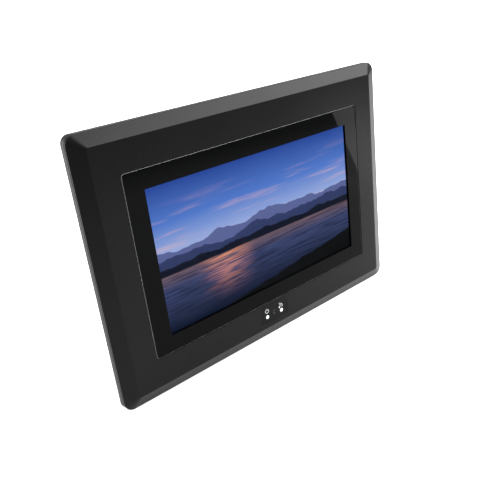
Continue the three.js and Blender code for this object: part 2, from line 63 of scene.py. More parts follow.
RIGHT = Vector((1.0, 0.0, 0.0))
OUT_OF_FRONT = Vector(JOINTS["button_menu_press"]["axis"]).normalized()
UP_SCREEN = OUT_OF_FRONT.cross(RIGHT)
TURN = Matrix((RIGHT, UP_SCREEN, OUT_OF_FRONT)).transposed().to_4x4()
HINGE_AT = Vector(JOINTS["stand_hinge"]["pos_m"])
SCALE = Matrix.Scale(MM, 4)
CASING = Matrix.Translation(HINGE_AT) @ TURN @ SCALE @ Matrix.Translation(-HINGE)
LEG = Matrix.Translation(HINGE_AT) @ Matrix.Rotation(LEG_OPENING, 4, "X") @ TURN @ SCALE

# Casing, front to back. An outline is (width, height, corner radius).
OUTER = (224.6, 155.4, 5.7)
RIM_REAR = (224.6, 155.4, 4.6)
FACE = (207.8, 141.2, 1.5)
BEVEL_BACK = -3.3
BEZEL_EDGE = -4.2
RIM_FRONT = -4.7
RIM_BACK = -8.8
HUMP_BASE = (189.0, 122.0, 10.0)
HUMP_TOP = (183.0, 116.0, 8.0)
HUMP_BACK = -22.0
WALL = 2.0
LIP = (219.8, 150.6, 3.8)
LIP_BACK = -6.3
POCKET = (216.0, 146.8, 3.5)
POCKET_NOSE = (209.0, 141.6, 2.5)
FACE_PLATE = -2.8
SCREEN_CENTRE = (0.5, -0.4)
LEDGE = (162.0, 98.0, 1.0)
LEDGE_FRONT = -1.9

# Window and display
GLASS_OPENING = (177.8, 107.5, 2.0)
GLASS = (177.3, 107.0, 1.8)
GLASS_FRONT = -0.3
GLASS_BACK = -1.5
EDGE_WIDTH = 0.4  # the ground edge round the front of the pane, coloured pale to paint in its highlight
PICTURE = (154.2, 85.4)
CELL = (161.0, 97.0, 0.6)
CELL_FRONT = -1.7
CELL_BACK = -3.2

# Indicator panel
PANEL = (22.6, 11.8, 0.5)
PANEL_CENTRE = (0.1, -60.8)
PANEL_FRONT = -0.03
PANEL_BACK = -0.85
LED_X = {"led_left": -6.3, "led_right": 6.0}
LED_Y = -63.1
LED_RADIUS = 1.3
SENSOR_Y = -61.7
SENSOR_RADIUS = 1.7

# Back
BUTTONS = ("menu", "back", "previous", "next", "enter")
BUTTON_START = 38.0
BUTTON_PITCH = 10.5
BUTTON_Y = 44.0
BUTTON = (6.6, 4.4, 2.19)
SWITCH_X = 40.0
SWITCH_Z = -15.7
SWITCH_TRAVEL = 3.0
RECESS_HALF = 25.0
RECESS_TOP = 46.0
RECESS_FLOOR = -16.5
RECESS_WALL = 2.2
RECESS_WALL_END = -59.0  # the recess's own walls stop here, inside the housing
RECESS_END = -80.0  # the recess runs out through the bottom of the rim
SPEAKER_X = (-57.0, 57.0)
SPEAKER_Y = -41.5
SPEAKER_SLOTS = (12.0, 18.0, 21.0, 18.0, 12.0)
SPEAKER_PITCH = 3.6
VENT_CENTRE = (-57.0, 28.0)
VENT_SLOTS = (30.0,) * 6
VENT_PITCH = 4.0
SLOT_WIDTH = 1.6
SIDE_INNER = 89.3  # the sockets' mouths, just inside the hump's right-hand wall
ON_BOARD = -13.9
CASE_SCREWS = ((-102.0, -67.5), (102.0, -67.5), (-102.0, 67.5), (102.0, 67.5))
CASE_SCREW_TOP = -8.7
FEET = {"foot_left": -82.0, "foot_right": 82.0}

# ---- Mesh tools ------------------------------------------------------------------------------------

CORNER_STEPS = 10
EASE_STEPS = 5
SHARP_EDGE = math.radians(32)  # shading breaks at sharper edges than this
MIDDLE = (0.0, 0.0)
PAST = 1.0  # how far a cutter runs past the surface it opens


def circle_angles(sides):
    return [2 * math.pi * k / sides for k in range(sides)]


def rounded_ring(width, height, radius, z, centre, steps):
    """Points of a rounded rectangle at depth z, anticlockwise seen from the front."""
    points = []
    corners = ((1, 1, 0), (-1, 1, 90), (-1, -1, 180), (1, -1, 270))
    for side_x, side_y, start in corners:
        x = centre[0] + side_x * (width / 2 - radius)
        y = centre[1] + side_y * (height / 2 - radius)
        for step in range(steps + 1):
            angle = math.radians(start + 90 * step / steps)
            points.append((x + radius * math.cos(angle), y + radius * math.sin(angle), z))
    return points


def eased(profile, closed):
    """Rounds the corners of a profile. Each entry is (values, ease): values are the numbers that
    describe one ring, and ease is how far from the corner the rounding starts, 0 for a sharp one."""
    rings = []
    count = len(profile)
    for i, (values, ease) in enumerate(profile):
        here = Vector(values)
        is_end = not closed and i in (0, count - 1)
        if ease == 0 or is_end:
            rings.append(here)
            continue
        before = Vector(profile[i - 1][0]) - here
        after = Vector(profile[(i + 1) % count][0]) - here
        start = here + before.normalized() * min(ease, before.length * 0.45)
        end = here + after.normalized() * min(ease, after.length * 0.45)
        for step in range(EASE_STEPS + 1):
            t = step / EASE_STEPS
            rings.append(start * (1 - t) ** 2 + here * (2 * t * (1 - t)) + end * t**2)
    return rings


def add_loft(mesh, rings, closed=False):
    """Joins rings of equal length with quads. An open loft is capped at both ends."""
    loops = [[mesh.verts.new(point) for point in ring] for ring in rings]
    pairs = list(zip(loops, loops[1:]))
    if closed:
        pairs.append((loops[-1], loops[0]))
    for first, second in pairs:
        for i in range(len(first)):
            j = (i + 1) % len(first)
            mesh.faces.new((first[i], first[j], second[j], second[i]))
    if not closed:
        mesh.faces.new(list(reversed(loops[0])))
        mesh.faces.new(loops[-1])


def add_outline_loft(mesh, profile, closed=False, steps=CORNER_STEPS):
    """A loft through rounded rectangles. A profile entry is (outline, z, centre, ease)."""
    values = [((*outline, z, *centre), ease) for outline, z, centre, ease in profile]
    rings = []
    for width, height, radius, z, x, y in eased(values, closed):
        rings.append(rounded_ring(width, height, radius, z, (x, y), steps))
    add_loft(mesh, rings, closed)


def add_turned(mesh, profile, centre, sides=40):
    """A turned piece along z. A profile entry is (radius, z, ease), from front to back or back to front."""
    values = [((radius, z), ease) for radius, z, ease in profile]
    angles = circle_angles(sides)
    rings = []
    for radius, z in eased(values, closed=False):
        rings.append([
            (centre[0] + radius * math.cos(a), centre[1] + radius * math.sin(a), z) for a in angles
        ])
    add_loft(mesh, rings)


def add_rod(mesh, radius, start, end, y, z, sides=32):
    """A round rod along x."""
    ring = [(start, y + radius * math.cos(a), z + radius * math.sin(a)) for a in circle_angles(sides)]
    add_prism(mesh, ring, (end - start, 0.0, 0.0))


def add_box(mesh, low, high):
    """A box given by two corners."""
    corners = [
        mesh.verts.new((x, y, z)) for x in (low[0], high[0]) for y in (low[1], high[1])
        for z in (low[2], high[2])
    ]
    for face in ((0, 1, 3, 2), (4, 6, 7, 5), (0, 4, 5, 1), (2, 3, 7, 6), (0, 2, 6, 4), (1, 5, 7, 3)):
        mesh.faces.new([corners[i] for i in face])


def add_prism(mesh, outline, depth):
    """An outline drawn out. depth is a vector from the outline to its copy."""
    add_loft(mesh, [outline, [Vector(point) + Vector(depth) for point in outline]])


def new_object(name, mesh, place=None):
    """Turns a bmesh into an object. place takes it from its own frame into the row frame."""
    bmesh.ops.recalc_face_normals(mesh, faces=mesh.faces)
    if place is not None:
        mesh.transform(place)
    data = bpy.data.meshes.new(name)
    mesh.to_mesh(data)
    mesh.free()
    made = bpy.data.objects.new(name, data)
    bpy.context.scene.collection.objects.link(made)
    return made


def apply_modifiers(target):
    """Bakes a piece's modifiers into its mesh."""
    graph = bpy.context.evaluated_depsgraph_get()
    baked = bpy.data.meshes.new_from_object(target.evaluated_get(graph))
    target.modifiers.clear()
    target.data = baked


def carve(target, cutter, operation="DIFFERENCE"):
    """Cuts one closed piece with another, or joins it on, and removes the tool."""
    change = target.modifiers.new("carve", "BOOLEAN")
    change.operation = operation
    change.solver = "EXACT"
    change.object = cutter
    apply_modifiers(target)
    bpy.data.objects.remove(cutter)


def soften(target, width, segments, angle=50):
    """Rounds a piece's sharp edges by width, in millimetres."""
    bevel = target.modifiers.new("soften", "BEVEL")
    bevel.width = width * MM
    bevel.segments = segments
    bevel.limit_method = "ANGLE"
    bevel.angle_limit = math.radians(angle)
    bevel.harden_normals = False
    apply_modifiers(target)


def shade(target):
    """Smooth shading that breaks at sharp edges."""
    mesh = bmesh.new()
    mesh.from_mesh(target.data)
    for face in mesh.faces:
        face.smooth = True
    for edge in mesh.edges:
        if len(edge.link_faces) == 2 and edge.calc_face_angle(0.0) > SHARP_EDGE:
            edge.smooth = False
    mesh.to_mesh(target.data)
    mesh.free()
    weighted = target.modifiers.new("weighted", "WEIGHTED_NORMAL")
    weighted.keep_sharp = True
    weighted.weight = 100


def finish_piece(target, finish, nodes, body="casing"):
    """Shades a piece, gives it its material and ties it to the CAD."""
    shade(target)
    for material in finish if isinstance(finish, list) else [finish]:
        target.data.materials.append(material)
    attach(target, body)
    if nodes:
        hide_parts(*nodes)


# ---- Materials -------------------------------------------------------------------------------------


class Graph:
    """A short way to write a material's nodes."""

    def __init__(self, name):
        self.material = bpy.data.materials.new(name)
        self.material.use_nodes = True
        self.tree = self.material.node_tree
        self.shader = self.tree.nodes["Principled BSDF"]

    def node(self, kind, inputs=(), **settings):
        made = self.tree.nodes.new(kind)
        for key, value in settings.items():
            setattr(made, key, value)
        for key, value in dict(inputs).items():
            self.put(made.inputs[key], value)
        return made

    def put(self, socket, value):
        if isinstance(value, bpy.types.NodeSocket):
            self.tree.links.new(value, socket)
        else:
            socket.default_value = value

    def set(self, **values):
        """Sets the shader's own sockets: spaces in their names are written as underscores."""
        for key, value in values.items():
            self.put(self.shader.inputs[key.replace("_", " ")], value)

    def math(self, operation, *values):
        made = self.node("ShaderNodeMath", operation=operation)
        for socket, value in zip(made.inputs, values):
            self.put(socket, value)
        return made.outputs[0]

    def mix(self, factor, first, second, blend="MIX"):
        made = self.node("ShaderNodeMix", data_type="RGBA", blend_type=blend)
        self.put(made.inputs["Factor"], factor)
        self.put(made.inputs["A"], first)
        self.put(made.inputs["B"], second)
        return made.outputs["Result"]

    def place(self):
        return self.node("ShaderNodeTexCoord").outputs["Object"]

    def noise(self, scale, detail=3.0, roughness=0.5, vector=None):
        return self.node("ShaderNodeTexNoise", {
            "Vector": vector if vector is not None else self.place(),
            "Scale": scale, "Detail": detail, "Roughness": roughness,
        }).outputs["Fac"]

    def spread(self, value, low, high, start=0.3, end=0.7):
        """Maps a value from start..end to low..high."""
        return self.node("ShaderNodeMapRange", {
            "Value": value, "From Min": start, "From Max": end, "To Min": low, "To Max": high,
        }).outputs["Result"]

    def bump(self, height, distance):
        return self.node("ShaderNodeBump", {"Height": height, "Distance": distance}).outputs["Normal"]


PLASTIC_TINT = 0.03
METAL_TINT = 0.02
RUBBER_LEVEL = 0.014
DRAWN_ALONG_X = (1.0, 30.0, 30.0)


def grey(value, tint=0.0):
    """A grey, slightly blue if tint is above 0."""
    return (value * (1 - tint), value * (1 - tint / 2), value, 1.0)


def moulded_plastic(name, level, roughness, grain=2600.0, depth=0.00001, specular=0.5):
    """Moulded plastic: a fine spark-eroded grain, with slow changes in shade and gloss."""
    g = Graph(name)
    cloud = g.noise(28.0, 4.0)
    fine = g.noise(grain, 2.0, 0.6)
    gloss = g.math("ADD", g.math("MULTIPLY", cloud, 0.6), g.math("MULTIPLY", fine, 0.4))
    g.set(
        Base_Color=g.mix(g.spread(cloud, 0.0, 1.0), grey(level * 0.9, PLASTIC_TINT),
                         grey(level * 1.12, PLASTIC_TINT)),
        Roughness=g.spread(gloss, roughness - 0.03, roughness + 0.03),
        Normal=g.bump(fine, depth),
        Specular_IOR_Level=specular,
    )
    return g.material


def gloss_black(name, level=0.0006, roughness=0.02, ior_level=0.022):
    """Black print behind clear glass: a deep colour under a gloss face, with a trace of unevenness."""
    g = Graph(name)
    wave = g.noise(14.0, 1.0)
    g.set(
        Base_Color=g.mix(g.spread(wave, 0.0, 1.0), grey(level, 0.2), grey(level * 1.4, 0.2)),
        Roughness=g.spread(g.noise(90.0, 2.0), roughness, roughness * 1.6),
        Specular_IOR_Level=ior_level,
    )
    return g.material


def brushed_metal(name, level=0.6, roughness=0.3):
    """Metal with fine drawn lines along one way."""
    g = Graph(name)
    drawn = g.node("ShaderNodeMapping", {"Vector": g.place(), "Scale": DRAWN_ALONG_X}).outputs["Vector"]
    lines = g.noise(160.0, 3.0, 0.6, drawn)
    g.set(
        Base_Color=g.mix(g.spread(lines, 0.0, 1.0), grey(level * 0.85, METAL_TINT), grey(level, METAL_TINT)),
        Roughness=g.spread(lines, roughness - 0.06, roughness + 0.08),
        Metallic=1.0,
        Normal=g.bump(lines, 0.000004),
    )
    return g.material


def soft_rubber(name):
    g = Graph(name)
    fine = g.noise(3400.0, 3.0, 0.7)
    g.set(
        Base_Color=g.mix(g.spread(g.noise(60.0), 0.0, 1.0), grey(RUBBER_LEVEL * 0.8),
                         grey(RUBBER_LEVEL * 1.3)),
        Roughness=g.spread(fine, 0.75, 0.9),
        Normal=g.bump(fine, 0.00002),
        Specular_IOR_Level=0.3,
    )
    return g.material


def coloured(name, first, second, scale, roughness, depth=0.000004):
    """A fine mottle of two colours."""
    g = Graph(name)
    mottle = g.noise(scale, 3.0)
    g.set(
        Base_Color=g.mix(g.spread(mottle, 0.0, 1.0), (*first, 1.0), (*second, 1.0)),
        Roughness=g.spread(mottle, roughness - 0.05, roughness + 0.05),
        Normal=g.bump(g.noise(scale * 8, 2.0), depth),
    )
    return g.material


BEZEL = moulded_plastic("bezel_plastic", 0.0005, 0.28, specular=0.07)
REAR = moulded_plastic("rear_plastic", 0.004, 0.42, grain=1900.0, depth=0.00002, specular=0.08)
KEY = moulded_plastic("key_plastic", 0.02, 0.42, grain=3000.0, depth=0.000006, specular=0.3)
PANEL_PLASTIC = moulded_plastic("panel_plastic", 0.0008, 0.24, grain=3200.0, depth=0.000004, specular=0.055)
SOCKET_BLACK = moulded_plastic("socket_plastic", 0.008, 0.45, grain=3000.0, depth=0.000006)
BORDER = gloss_black("window_border")
STEEL = brushed_metal("plated_steel")
BLACKENED_STEEL = brushed_metal("blackened_steel", 0.09, 0.42)
RUBBER = soft_rubber("foot_rubber")
BOARD_GREEN = coloured("circuit_board", (0.008, 0.07, 0.03), (0.015, 0.11, 0.05), 900.0, 0.4)
CHIP = coloured("chip_epoxy", (0.012, 0.012, 0.013), (0.02, 0.02, 0.022), 1500.0, 0.6)
FOAM = coloured("foam", (0.02, 0.02, 0.021), (0.035, 0.035, 0.036), 1800.0, 0.9, 0.00003)
FILM = coloured("cable_film", (0.42, 0.2, 0.05), (0.55, 0.3, 0.08), 300.0, 0.35)
DIFFUSER = coloured("diffuser", (0.75, 0.77, 0.78), (0.85, 0.86, 0.88), 200.0, 0.5)


def clear_pane():
    """The window over the picture. Anti-reflection coated: it neither mirrors nor bends what lies behind."""
    g = Graph("clear_window")
    g.set(
        Base_Color=g.mix(g.spread(g.noise(40.0, 1.0), 0.0, 1.0), grey(0.985), grey(1.0)),
        Roughness=0.0,
        Transmission_Weight=1.0,
        IOR=1.001,
    )
    return g.material


def lit_lamp():
    """A lit white lamp: brightest at the middle of its lens."""
    g = Graph("lit_lamp")
    distances = []
    for x in LED_X.values():
        middle = CASING @ Vector((x, LED_Y, 0.0))
        away = g.node("ShaderNodeVectorMath", {0: g.place(), 1: middle}, operation="DISTANCE")
        distances.append(away.outputs["Value"])
    rim = g.spread(g.math("MINIMUM", *distances), 0.0, 1.0, 0.5 * MM, LED_RADIUS * MM)
    g.set(
        Base_Color=g.mix(g.spread(g.noise(900.0), 0.0, 1.0), (0.3, 0.32, 0.34, 1.0), (0.36, 0.38, 0.4, 1.0)),
        Roughness=0.25,
        Emission_Color=g.mix(rim, (1.0, 1.0, 1.0, 1.0), (0.10, 0.11, 0.13, 1.0)),
        Emission_Strength=1.2,
    )
    return g.material


def white_print():
    g = Graph("white_print")
    g.set(
        Base_Color=g.mix(g.spread(g.noise(1500.0), 0.0, 1.0), grey(0.36), grey(0.44)),
        Roughness=0.5,
    )
    return g.material


CLEAR = clear_pane()
# The pane's ground edge: a pale grey, made light enough to paint in the highlight along the window's edge.
EDGE_HIGHLIGHT_GREY = coloured("ground_edge_highlight", (0.12, 0.125, 0.125), (0.2, 0.205, 0.2), 700.0, 0.4)
LAMP = lit_lamp()
WHITE_PRINT = white_print()
DARK_LENS = gloss_black("sensor_window", 0.001, 0.15, 0.12)
GOLD = brushed_metal("gold_contact", 0.8, 0.3)

CAD_FINISHES = {
    "steel": STEEL, "circuit_board": BOARD_GREEN, "chip": CHIP, "foam": FOAM, "cable": FILM,
    "diffuser": DIFFUSER, "socket_plastic": SOCKET_BLACK, "rubber": RUBBER,
}


def dress_inside():
    """Gives each CAD piece the finish that its slot has here."""
    for part in frame["record"]["subparts"]:
        if part["material_slot"] in CAD_FINISHES:
            data = frame["nodes"][part["node"]].data
            data.materials.clear()
            data.materials.append(CAD_FINISHES[part["material_slot"]])


# ---- The picture on the screen ---------------------------------------------------------------------


def colour(red, green, blue):
    """A screen colour, 0 to 255, as the light it stands for."""
    light = []
    for level in (red / 255, green / 255, blue / 255):
        light.append(level / 12.92 if level <= 0.04045 else ((level + 0.055) / 1.055) ** 2.4)
    return (*light, 1.0)


class Picture(Graph):
    """A drawn picture. Places are (across, down), from 0 to 1 over the lit area, and radii are shares
    of its height."""

    ASPECT = PICTURE[0] / PICTURE[1]

    def __init__(self, name, layer):
        super().__init__(name)
        self.sheet = self.node("ShaderNodeUVMap", uv_map=layer).outputs["UV"]
        parts = self.node("ShaderNodeSeparateXYZ", {"Vector": self.sheet}).outputs
        self.across = parts["X"]
        self.down = self.math("SUBTRACT", 1.0, parts["Y"])
        self.drawn = (0.0, 0.0, 0.0, 1.0)

    def step(self, value, start, end):
        """Rises smoothly from 0 at start to 1 at end, or falls if end is below start."""
        return self.node("ShaderNodeMapRange", {"Value": value, "From Min": start, "From Max": end},
                         interpolation_type="SMOOTHSTEP").outputs["Result"]

    def both(self, first, second):
        return self.math("MULTIPLY", first, second)

    def ramp(self, stops):
        """Colours from the top of the picture to its bottom."""
        made = self.node("ShaderNodeValToRGB", {"Fac": self.down})
        elements = made.color_ramp.elements
        while len(elements) < len(stops):
            elements.new(0.5)
        for element, (place, shade_of) in zip(elements, stops):
            element.position = place
            element.color = colour(*shade_of)
        return made.outputs["Color"]

    def streaks(self, across, down, detail=3.0):
        """Noise stretched by a count of features each way."""
        stretched = self.node("ShaderNodeMapping", {"Vector": self.sheet, "Scale": (across, down, 1.0)})
        return self.noise(1.0, detail, 0.55, stretched.outputs["Vector"])

    def below_crest(self, base, rise, features, shift):
        """Everything below an uneven skyline that rises from base by up to rise."""
        along = self.math("MULTIPLY_ADD", self.across, features, shift)
        sweep = self.node("ShaderNodeCombineXYZ", {"X": along})
        uneven = self.noise(1.0, 4.0, 0.5, sweep.outputs["Vector"])
        crest = self.math("MULTIPLY_ADD", uneven, -rise, base)
        return self.step(self.math("SUBTRACT", self.down, crest), -0.003, 0.003)

    def disc(self, centre, radius, soft, squash):
        """A soft-edged disc. squash above 1 makes it wide and low."""
        x = self.math("MULTIPLY_ADD", self.across, self.ASPECT, -centre[0] * self.ASPECT)
        y = self.math("MULTIPLY_ADD", self.down, squash, -centre[1] * squash)
        away = self.math("SQRT", self.math("ADD", self.both(x, x), self.both(y, y)))
        return self.step(away, radius + soft, radius)

    def paint(self, where, shade_of, amount=1.0):
        """Covers the drawing so far. shade_of is a colour, 0 to 255, or a ramp."""
        shade_there = shade_of if isinstance(shade_of, bpy.types.NodeSocket) else colour(*shade_of)
        self.drawn = self.mix(self.both(where, amount), self.drawn, shade_there)

    def glow(self, where, shade_of, amount):
        """Adds light to the drawing so far."""
        self.drawn = self.mix(self.both(where, amount), self.drawn, colour(*shade_of), "ADD")


WATERLINE = 0.60
SUNSET = (0.30, WATERLINE)
# Each range of hills: how far it rises, how many features across, where its noise starts, its colour.
HILLS = (
    (0.34, 3.0, 2.0, (90, 100, 150)),
    (0.22, 5.0, 9.0, (50, 60, 100)),
    (0.10, 9.0, 4.0, (20, 25, 40)),
)


def draw_sky(p):
    """A clear evening sky with thin cloud, and the glow of a sun that has just set."""
    p.paint(1.0, p.ramp((
        (0.0, (40, 70, 150)), (0.25, (80, 120, 200)), (0.45, (150, 170, 220)), (0.60, (240, 190, 150)),
    )))
    cloud = p.both(p.step(p.streaks(2.5, 16.0), 0.50, 0.75), p.step(p.down, 0.05, 0.35))
    p.paint(cloud, (240, 190, 180), 0.5)
    p.glow(p.disc(SUNSET, 0.0, 0.40, 1.6), (120, 60, 20), 0.6)


def draw_hills(p):
    for rise, features, shift, shade_of in HILLS:
        p.paint(p.below_crest(WATERLINE, rise, features, shift), shade_of)


def draw_lake(p):
    """Still water that takes the sky's colours, with ripples and the sunset's path on it."""
    water = p.step(p.down, WATERLINE - 0.003, WATERLINE + 0.003)
    p.paint(water, p.ramp((
        (0.60, (110, 90, 100)), (0.70, (60, 70, 110)), (1.0, (10, 20, 40)),
    )))
    ripples = p.both(water, p.step(p.streaks(5.0, 60.0), 0.45, 0.65))
    p.paint(ripples, (20, 25, 45), 0.6)
    off_path = p.math("ABSOLUTE", p.math("SUBTRACT", p.across, SUNSET[0]))
    path = p.both(p.step(off_path, 0.16, 0.0), p.step(p.down, 0.95, WATERLINE))
    p.glow(p.both(water, p.both(path, p.step(p.streaks(8.0, 70.0, 1.0), 0.35, 0.60))), (230, 140, 80), 0.7)


def draw_shore(p):
    """A dark bank that rises to the right in the foreground."""
    slope = p.math("MULTIPLY_ADD", p.across, 0.22, p.down)
    uneven = p.math("MULTIPLY_ADD", p.streaks(12.0, 3.0), 0.05, slope)
    p.paint(p.step(uneven, 1.08, 1.09), (12, 14, 16))


def evening_picture():
    """A plain view over a lake to hills, of no particular place."""
    p = Picture("evening_picture", "picture")
    draw_sky(p)
    draw_hills(p)
    draw_lake(p)
    draw_shore(p)
    inside = p.both(p.both(p.step(p.across, 0.0, 0.001), p.step(p.across, 1.0, 0.999)),
                    p.both(p.step(p.down, 0.0, 0.001), p.step(p.down, 1.0, 0.999)))
    p.set(
        Base_Color=p.mix(inside, grey(0.0006), grey(0.001)),
        Roughness=0.4,
        Specular_IOR_Level=0.0,
        Emission_Color=p.mix(inside, (0.0, 0.0, 0.0, 1.0), p.drawn),
        Emission_Strength=1.0,
    )
    return p.material


# ---- Casing ----------------------------------------------------------------------------------------


def panel_holes(gap, bottom):
    """Round cutters for the lamps and the sensor, wider than they are by gap all round."""
    cutter = bmesh.new()
    for x in LED_X.values():
        add_turned(cutter, [(LED_RADIUS + gap, PAST, 0), (LED_RADIUS + gap, bottom, 0)], (x, LED_Y))
    add_turned(cutter, [(SENSOR_RADIUS + gap, PAST, 0), (SENSOR_RADIUS + gap, bottom, 0)], (0.0, SENSOR_Y))
    return new_object("panel_holes", cutter)


def front_bezel():
    mesh = bmesh.new()
    add_outline_loft(mesh, [
        (GLASS_OPENING, LEDGE_FRONT, MIDDLE, 0),
        (GLASS_OPENING, 0.0, MIDDLE, 0.22),
        (FACE, 0.0, MIDDLE, 0.5),
        (OUTER, BEVEL_BACK, MIDDLE, 0.55),
        (OUTER, BEZEL_EDGE, MIDDLE, 0.12),
        (LIP, BEZEL_EDGE, MIDDLE, 0),
        (LIP, LIP_BACK, MIDDLE, 0.2),
        (POCKET, LIP_BACK, MIDDLE, 0.2),
        (POCKET, BEVEL_BACK - 0.6, MIDDLE, 0),
        (POCKET_NOSE, FACE_PLATE, MIDDLE, 0),
        (LEDGE, FACE_PLATE, SCREEN_CENTRE, 0),
        (LEDGE, LEDGE_FRONT, SCREEN_CENTRE, 0),
    ], closed=True)
    made = new_object("bezel_shell", mesh)
    gap = 0.12
    pocket = (PANEL[0] + 2 * gap, PANEL[1] + 2 * gap, 0.6)
    pocket_floor = PANEL_BACK - 0.1
    cutter = bmesh.new()
    add_outline_loft(cutter, [(pocket, pocket_floor, PANEL_CENTRE, 0), (pocket, PAST, PANEL_CENTRE, 0)])
    carve(made, new_object("panel_pocket", cutter))
    carve(made, panel_holes(0.2, -4.0))
    made.data.transform(CASING)
    finish_piece(made, BEZEL, ["front_bezel"])


def add_back_hole(mesh, outline, centre, steps=CORNER_STEPS):
    """A cutter through the hump's back wall."""
    add_outline_loft(mesh, [
        (outline, HUMP_BACK - PAST, centre, 0),
        (outline, HUMP_BACK + WALL + PAST, centre, 0),
    ], steps=steps)


def add_slots(mesh, x, y, lengths, pitch):
    """Round-ended slots one above another, through the back wall."""
    middle = (len(lengths) - 1) / 2
    for i, length in enumerate(lengths):
        outline = (length, SLOT_WIDTH, SLOT_WIDTH / 2 - 0.01)
        add_back_hole(mesh, outline, (x, y + (i - middle) * pitch), 4)


SOCKET_WINDOWS = (  # y low, y high, z back, z front, through the hump's right-hand wall
    (13.0, 39.0, -16.9, -14.1),
    (-3.8, 9.8, -19.3, -14.2),
    (-12.3, -4.9, -17.5, -14.2),
)
INLET_Y = -19.0
INLET_Z = -16.8
INLET_WINDOW = (2.9, 2.4)  # half its height and half its depth
SIDE_CUT = (86.0, 12.0)  # where cutters through the right-hand wall start, and their length
TOP_CUT = (54.0, 10.0)  # the same through the top wall


def shrink(outline, by):
    return (outline[0] - 2 * by, outline[1] - 2 * by, outline[2] - by / 2)


def cover_shell():
    inside = shrink(OUTER, WALL)
    mesh = bmesh.new()
    add_outline_loft(mesh, [
        (shrink(HUMP_TOP, WALL), HUMP_BACK + WALL, MIDDLE, 0),
        (shrink(HUMP_BASE, WALL), RIM_BACK + WALL, MIDDLE, 0),
        (inside, RIM_BACK + WALL, MIDDLE, 0.3),
        (inside, RIM_FRONT, MIDDLE, 0.15),
        (OUTER, RIM_FRONT, MIDDLE, 0.2),
        (RIM_REAR, RIM_BACK, MIDDLE, 0.9),
        (HUMP_BASE, RIM_BACK, MIDDLE, 0.8),
        (HUMP_TOP, HUMP_BACK, MIDDLE, 1.6),
        (shrink(HUMP_TOP, 4.0), HUMP_BACK, MIDDLE, 0),
    ])
    return new_object("cover_shell", mesh)


def recess_block():
    """The solid that the leg's recess is cut into."""
    half = RECESS_HALF + RECESS_WALL
    mesh = bmesh.new()
    add_box(mesh, (-half, RECESS_WALL_END, HUMP_BACK + 0.7),
            (half, RECESS_TOP + RECESS_WALL, RECESS_FLOOR + WALL))
    return new_object("recess_block", mesh)


def recess_cutter():
    recess = (2 * RECESS_HALF, RECESS_TOP - RECESS_END, 1.5)
    centre = (0.0, (RECESS_TOP + RECESS_END) / 2)
    mesh = bmesh.new()
    add_outline_loft(mesh, [(recess, HUMP_BACK - PAST, centre, 0), (recess, RECESS_FLOOR, centre, 0.4)])
    return new_object("recess", mesh)


def add_side_openings(mesh):
    """Cutters for the sockets and the inlet, along x."""
    start, length = SIDE_CUT
    for low_y, high_y, back, front in SOCKET_WINDOWS:
        centre = ((low_y + high_y) / 2, (back + front) / 2)
        ring = rounded_ring(high_y - low_y, front - back, 0.5, 0.0, centre, 4)
        add_prism(mesh, [(start, y, z) for y, z, _ in ring], (length, 0.0, 0.0))
    half_height, half_depth = INLET_WINDOW
    inlet = [(start, INLET_Y + half_height * math.cos(a), INLET_Z + half_depth * math.sin(a))
             for a in circle_angles(28)]
    add_prism(mesh, inlet, (length, 0.0, 0.0))


def add_switch_slot(mesh):
    """A cutter for the power switch, along y."""
    start, length = TOP_CUT
    reach = SWITCH_TRAVEL / 2 + 2.6
    slot = rounded_ring(2 * reach, 2.8, 0.6, 0.0, (SWITCH_X, SWITCH_Z), 4)
    add_prism(mesh, [(x, start, z) for x, z, _ in slot], (0.0, length, 0.0))


def add_back_openings(mesh):
    """Cutters for the buttons, speakers, vents and screw heads, along z."""
    button_hole = (BUTTON[0] + 0.5, BUTTON[1] + 0.5, BUTTON[2] + 0.24)
    for i in range(len(BUTTONS)):
        add_back_hole(mesh, button_hole, (BUTTON_START + i * BUTTON_PITCH, BUTTON_Y))
    for x in SPEAKER_X:
        add_slots(mesh, x, SPEAKER_Y, SPEAKER_SLOTS, SPEAKER_PITCH)
    add_slots(mesh, *VENT_CENTRE, VENT_SLOTS, VENT_PITCH)
    sink_radius, sink_depth = 2.6, 1.1
    for centre in CASE_SCREWS:
        add_turned(mesh, [(sink_radius, RIM_BACK - PAST, 0), (sink_radius, RIM_BACK + sink_depth, 0)],
                   centre, 28)


def rear_cover():
    made = cover_shell()
    carve(made, recess_block(), "UNION")
    carve(made, recess_cutter())
    openings = bmesh.new()
    add_side_openings(openings)
    add_switch_slot(openings)
    add_back_openings(openings)
    carve(made, new_object("openings", openings))
    made.data.transform(CASING)
    soften(made, 0.25, 2, 60)
    finish_piece(made, REAR, ["rear_cover"])


def strip_foot(name, x):
    """A rubber strip under the rim, with its underside on the table."""
    low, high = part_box(name)
    length = (high.x - low.x) / MM
    table = (CASING.inverted() @ Vector((0.0, low.y, 0.0))).y
    table_back = (CASING.inverted() @ Vector((0.0, high.y, 0.0))).y
    front, back = -6.4, -8.6
    top = -OUTER[1] / 2 - 0.05
    mesh = bmesh.new()
    outline = [(x - length / 2, top, front), (x - length / 2, table, front),
               (x - length / 2, table_back, back), (x - length / 2, top, back)]
    add_prism(mesh, outline, (length, 0.0, 0.0))
    made = new_object(name + "_rubber", mesh, CASING)
    soften(made, 0.25, 3)
    finish_piece(made, RUBBER, [name])


